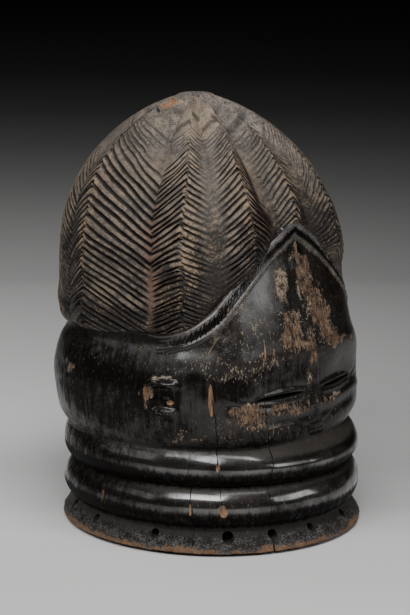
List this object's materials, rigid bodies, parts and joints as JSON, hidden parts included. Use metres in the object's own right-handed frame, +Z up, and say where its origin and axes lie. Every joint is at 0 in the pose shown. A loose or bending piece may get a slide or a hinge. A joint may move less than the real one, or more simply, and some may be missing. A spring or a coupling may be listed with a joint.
{
  "type": "helmet mask",
  "caption": "Hollow carved wooden helmet mask of the Mende kind, with a ringed neck, small calm face, ears and a ribbed coiffure cut in herringbone rows.",
  "frame": {"origin": "centre of the mask's outline on the plane that the rim stands on", "axes": "+Z up through the crown, the face looks toward -Y, +X toward the mask's proper left side"},
  "size_m": [0.2696, 0.2804, 0.3855],
  "materials": {
    "blackened_wood": "hand-carved hardwood, stained black and rubbed with oil to a sheen on the smooth swells, worn to brown wood on edges and chips"
  },
  "bodies": {
    "root": {"helmet_mask": "blackened_wood"}
  },
  "joints": []
}
